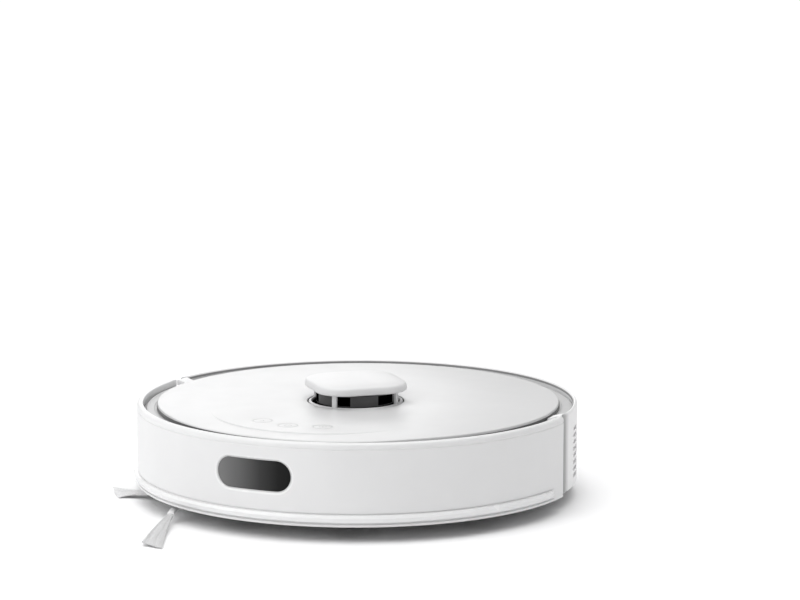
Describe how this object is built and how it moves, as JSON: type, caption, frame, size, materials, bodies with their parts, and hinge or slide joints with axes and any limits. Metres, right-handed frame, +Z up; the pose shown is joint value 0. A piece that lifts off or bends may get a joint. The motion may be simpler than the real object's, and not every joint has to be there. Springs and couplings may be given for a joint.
{
  "type": "robot vacuum",
  "caption": "Round low robot vacuum with a laser turret under a square cap, top touch buttons, sprung front bumper with sensor window, side brush, roller brush and rear dustbin",
  "frame": {"origin": "on the floor, under the axis of the round body", "axes": "+Z up; the robot drives towards -Y, so the bumper is at -Y and the dustbin at +Y; +X to the right for someone facing the bumper"},
  "size_m": [0.3281, 0.3768, 0.0855],
  "materials": {
    "white_gloss": "glossy white injection-moulded plastic",
    "white_satin": "satin white injection-moulded plastic",
    "light_grey": "fine-textured light grey plastic",
    "dark_plastic": "fine-textured black plastic",
    "smoked": "polished smoked infrared-transparent plastic",
    "rubber_tyre": "matt black moulded rubber",
    "rubber": "matt black rubber",
    "brush_blades": "grey elastomer blades",
    "steel": "bright steel",
    "nickel": "nickel-plated contact metal",
    "bristle": "fine white nylon bristle",
    "board": "green circuit board with solder mask",
    "battery": "shrink-wrapped lithium-ion cells",
    "filter": "pleated filter paper in a frame"
  },
  "bodies": {
    "chassis": {"brush_housing": "dark_plastic", "brush_guard": "dark_plastic", "main_brush_gearbox": "dark_plastic", "battery_door": "dark_plastic", "blower_housing": "dark_plastic", "air_duct": "dark_plastic", "rear_shell": "white_satin", "turret_base": "white_satin", "base_chassis": "light_grey", "upper_frame": "light_grey", "brush_bearing": "light_grey", "top_cover": "white_gloss", "turret_cap": "white_gloss", "cliff_window_1": "smoked", "cliff_window_2": "smoked", "cliff_window_3": "smoked", "cliff_window_4": "smoked", "lidar_motor": "steel", "bumper_spring_left": "steel", "bumper_spring_right": "steel", "wheel_spring_left": "steel", "wheel_spring_right": "steel", "side_brush_motor": "steel", "main_brush_motor": "steel", "lidar_belt": "rubber", "charge_contact_left": "nickel", "charge_contact_right": "nickel", "main_board": "board", "battery_pack": "battery"},
    "bumper": {"bumper_shell": "white_satin", "bumper_window": "smoked", "bumper_strip": "white_satin"},
    "button_left": {"button_left": "white_gloss"},
    "button_middle": {"button_middle": "white_gloss"},
    "button_right": {"button_right": "white_gloss"},
    "lidar_rotor": {"lidar_rotor": "smoked", "rotor_pulley": "dark_plastic"},
    "lidar_motor_pulley": {"lidar_motor_pulley": "dark_plastic"},
    "side_brush": {"side_brush_hub": "white_satin", "side_bristles_1": "bristle", "side_bristles_2": "bristle", "side_bristles_3": "bristle"},
    "main_brush": {"main_brush_core": "dark_plastic", "main_brush_blades": "brush_blades"},
    "arm_left": {"suspension_arm_left": "dark_plastic"},
    "arm_right": {"suspension_arm_right": "dark_plastic"},
    "wheel_left": {"wheel_hub_left": "light_grey", "wheel_tyre_left": "rubber_tyre"},
    "wheel_right": {"wheel_hub_right": "light_grey", "wheel_tyre_right": "rubber_tyre"},
    "caster_swivel": {"caster_fork": "dark_plastic"},
    "caster_wheel": {"caster_wheel": "rubber"},
    "dustbin": {"bin_body": "white_satin", "bin_lid": "white_satin", "bin_filter": "filter"},
    "bin_release": {"bin_release": "light_grey"},
    "evacuation_flap": {"evacuation_flap": "dark_plastic"},
    "blower": {"blower_impeller": "light_grey"}
  },
  "joints": [
    {"name": "bumper_slide", "type": "slide", "parent": "chassis", "child": "bumper", "axis": [0, 1, 0], "range_m": [0, 0.004], "stiffness_N_per_m": 350, "springref_m": -0.004, "deforming": ["bumper_spring_left", "bumper_spring_right"]},
    {"name": "button_left_press", "type": "slide", "parent": "chassis", "child": "button_left", "axis": [0, 0, -1], "range_m": [0, 0.0006], "stiffness_N_per_m": 600, "springref_m": -0.0006},
    {"name": "button_middle_press", "type": "slide", "parent": "chassis", "child": "button_middle", "axis": [0, 0, -1], "range_m": [0, 0.0006], "stiffness_N_per_m": 600, "springref_m": -0.0006},
    {"name": "button_right_press", "type": "slide", "parent": "chassis", "child": "button_right", "axis": [0, 0, -1], "range_m": [0, 0.0006], "stiffness_N_per_m": 600, "springref_m": -0.0006},
    {"name": "lidar_spin", "type": "hinge", "parent": "chassis", "child": "lidar_rotor", "pos_m": [0, -0.004, 0.07], "axis": [0, 0, 1], "continuous": true},
    {"name": "lidar_motor_spin", "type": "hinge", "parent": "chassis", "child": "lidar_motor_pulley", "pos_m": [-0.046, 0.012, 0.055], "axis": [0, 0, 1], "continuous": true},
    {"name": "side_brush_spin", "type": "hinge", "parent": "chassis", "child": "side_brush", "pos_m": [-0.07, -0.117, 0.006], "axis": [0, 0, 1], "continuous": true, "deforming": ["side_bristles_1", "side_bristles_2", "side_bristles_3"]},
    {"name": "main_brush_spin", "type": "hinge", "parent": "chassis", "child": "main_brush", "pos_m": [0, 0.024, 0.0198], "axis": [1, 0, 0], "continuous": true},
    {"name": "wheel_drop_left", "type": "hinge", "parent": "chassis", "child": "arm_left", "pos_m": [-0.1048, 0.043, 0.036], "axis": [1, 0, 0], "range_deg": [0, 35], "stiffness_Nm_per_rad": 0.12, "springref_deg": 51.57, "deforming": ["wheel_spring_left"]},
    {"name": "wheel_drop_right", "type": "hinge", "parent": "chassis", "child": "arm_right", "pos_m": [0.1048, 0.043, 0.036], "axis": [1, 0, 0], "range_deg": [0, 35], "stiffness_Nm_per_rad": 0.12, "springref_deg": 51.57, "deforming": ["wheel_spring_right"]},
    {"name": "wheel_spin_left", "type": "hinge", "parent": "arm_left", "child": "wheel_left", "pos_m": [-0.12, 0.007, 0.029], "axis": [1, 0, 0], "continuous": true},
    {"name": "wheel_spin_right", "type": "hinge", "parent": "arm_right", "child": "wheel_right", "pos_m": [0.12, 0.007, 0.029], "axis": [1, 0, 0], "continuous": true},
    {"name": "caster_turn", "type": "hinge", "parent": "chassis", "child": "caster_swivel", "pos_m": [0, -0.094, 0.03], "axis": [0, 0, 1], "continuous": true},
    {"name": "caster_roll", "type": "hinge", "parent": "caster_swivel", "child": "caster_wheel", "pos_m": [0, -0.091, 0.011], "axis": [1, 0, 0], "continuous": true},
    {"name": "dustbin_slide", "type": "slide", "parent": "chassis", "child": "dustbin", "axis": [0, 1, 0], "range_m": [0, 0.11]},
    {"name": "bin_release_press", "type": "slide", "parent": "dustbin", "child": "bin_release", "axis": [0, -1, 0], "range_m": [0, 0.0015], "stiffness_N_per_m": 500, "springref_m": -0.0015},
    {"name": "flap_swing", "type": "hinge", "parent": "dustbin", "child": "evacuation_flap", "pos_m": [0, 0.1564, 0.0398], "axis": [-1, 0, 0], "range_deg": [0, 60], "stiffness_Nm_per_rad": 0.004, "springref_deg": -17.19},
    {"name": "blower_spin", "type": "hinge", "parent": "chassis", "child": "blower", "pos_m": [0.066, -0.052, 0.03], "axis": [0, 0, 1], "continuous": true}
  ],
  "couplings": [
    {"joint": "lidar_motor_spin", "follows": "lidar_spin", "ratio": 5}
  ]
}
